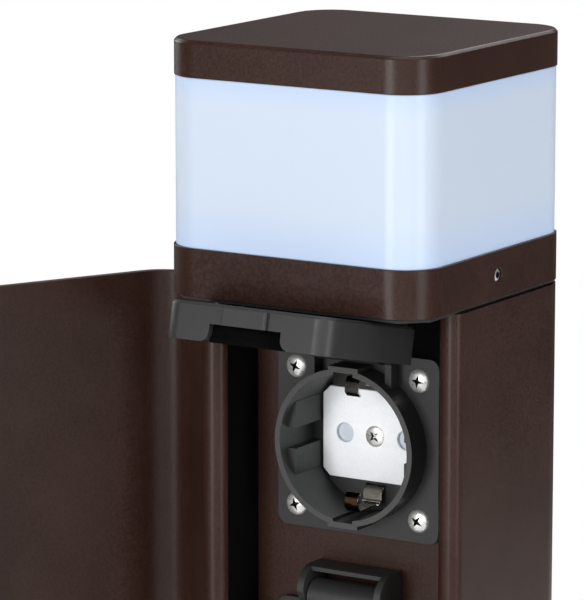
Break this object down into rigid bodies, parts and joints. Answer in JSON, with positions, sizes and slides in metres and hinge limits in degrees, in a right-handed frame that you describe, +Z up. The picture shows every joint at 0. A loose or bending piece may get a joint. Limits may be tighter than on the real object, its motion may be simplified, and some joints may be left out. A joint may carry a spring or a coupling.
{
  "type": "garden lamp post with sockets",
  "caption": "Square bollard light with an opal head and flap-covered power sockets behind a hinged cover door.",
  "frame": {"origin": "middle of the underside of the base plate, on the ground", "axes": "+Z up along the post, -Y towards the door and the sockets, +X to the right seen from the door side"},
  "size_m": [0.1536, 0.1383, 0.45],
  "materials": {
    "brown_coat": "fine-textured satin powder coat, dark brown",
    "opal_plastic": "opal, glossy, lit from inside",
    "socket_plastic": "satin moulded plastic, dark grey",
    "black_plastic": "satin",
    "white_plastic": "smooth",
    "blue_grey_plastic": "smooth",
    "grey_plastic": "satin",
    "black_rubber": "matt",
    "stainless": "bright turned",
    "nickel_spring": "polished spring strip",
    "brass": "turned",
    "chrome_zinc": "polished",
    "cast_alloy": "as cast",
    "bare_aluminium": "milled",
    "board_white": "solder mask",
    "emitter_yellow": "phosphor"
  },
  "bodies": {
    "post": {"top_cap": "brown_coat", "diffuser": "opal_plastic", "head_collar": "brown_coat", "collar_set_screws": "stainless", "head_spigot": "cast_alloy", "spigot_screws": "stainless", "head_gasket": "black_rubber", "tie_rods": "stainless", "heat_sink": "bare_aluminium", "led_board": "board_white", "led_emitters": "emitter_yellow", "led_driver": "black_plastic", "post_body": "brown_coat", "base_plate": "brown_coat", "base_screws": "stainless", "cable_gland": "black_plastic", "gland_nut": "black_plastic", "terminal_block": "grey_plastic", "terminal_screws": "brass", "earth_stud": "brass", "service_cover": "brown_coat", "service_cover_seal": "black_rubber", "service_cover_screws": "stainless", "hinge_blocks": "brown_coat", "hinge_pins": "stainless", "lock_keeper": "stainless", "keeper_screws": "stainless", "upper_socket_housing": "socket_plastic", "upper_socket_gasket": "black_rubber", "upper_socket_flange_screws": "stainless", "upper_socket_insert": "white_plastic", "upper_socket_insert_screw": "stainless", "upper_socket_contacts": "brass", "upper_socket_rear_body": "black_plastic", "upper_socket_earth_clips": "nickel_spring", "upper_lid_pin": "stainless", "lower_socket_housing": "socket_plastic", "lower_socket_gasket": "black_rubber", "lower_socket_flange_screws": "stainless", "lower_socket_insert": "white_plastic", "lower_socket_insert_screw": "stainless", "lower_socket_contacts": "brass", "lower_socket_rear_body": "black_plastic", "lower_socket_earth_clips": "nickel_spring", "lower_lid_pin": "stainless"},
    "door": {"door": "brown_coat", "door_hinge_arms": "brown_coat", "lock_barrel": "chrome_zinc", "lock_nut": "stainless"},
    "lock": {"lock_plug": "chrome_zinc", "lock_cam": "stainless", "cam_screw": "stainless"},
    "upper_lid": {"upper_lid": "socket_plastic", "upper_lid_seal": "black_rubber"},
    "upper_shutter": {"upper_socket_shutter": "blue_grey_plastic"},
    "lower_lid": {"lower_lid": "socket_plastic", "lower_lid_seal": "black_rubber"},
    "lower_shutter": {"lower_socket_shutter": "blue_grey_plastic"}
  },
  "joints": [
    {"name": "door_swing", "type": "hinge", "parent": "post", "child": "door", "pos_m": [-0.038, -0.0128, 0.2], "axis": [0, 0, 1], "range_deg": [0, 116.9]},
    {"name": "lock_turn", "type": "hinge", "parent": "door", "child": "lock", "pos_m": [-0.0885, -0.05222, 0.2], "axis": [0.8918, -0.4524, 0], "range_deg": [0, 90]},
    {"name": "upper_lid_swing", "type": "hinge", "parent": "post", "child": "upper_lid", "pos_m": [0, -0.00845, 0.368], "axis": [1, 0, 0], "range_deg": [0, 102.8]},
    {"name": "lower_lid_swing", "type": "hinge", "parent": "post", "child": "lower_lid", "pos_m": [0, -0.00845, 0.2978], "axis": [1, 0, 0], "range_deg": [-102.8, 0]},
    {"name": "upper_shutter_turn", "type": "hinge", "parent": "post", "child": "upper_shutter", "pos_m": [0, 0.0064, 0.34015], "axis": [0, 1, 0], "range_deg": [-40, 0]},
    {"name": "lower_shutter_turn", "type": "hinge", "parent": "post", "child": "lower_shutter", "pos_m": [0, 0.0064, 0.26995], "axis": [0, 1, 0], "range_deg": [-40, 0]}
  ],
  "couplings": [
    {"joint": "upper_lid_swing", "follows": "door_swing", "ratio": 0.87938}
  ]
}
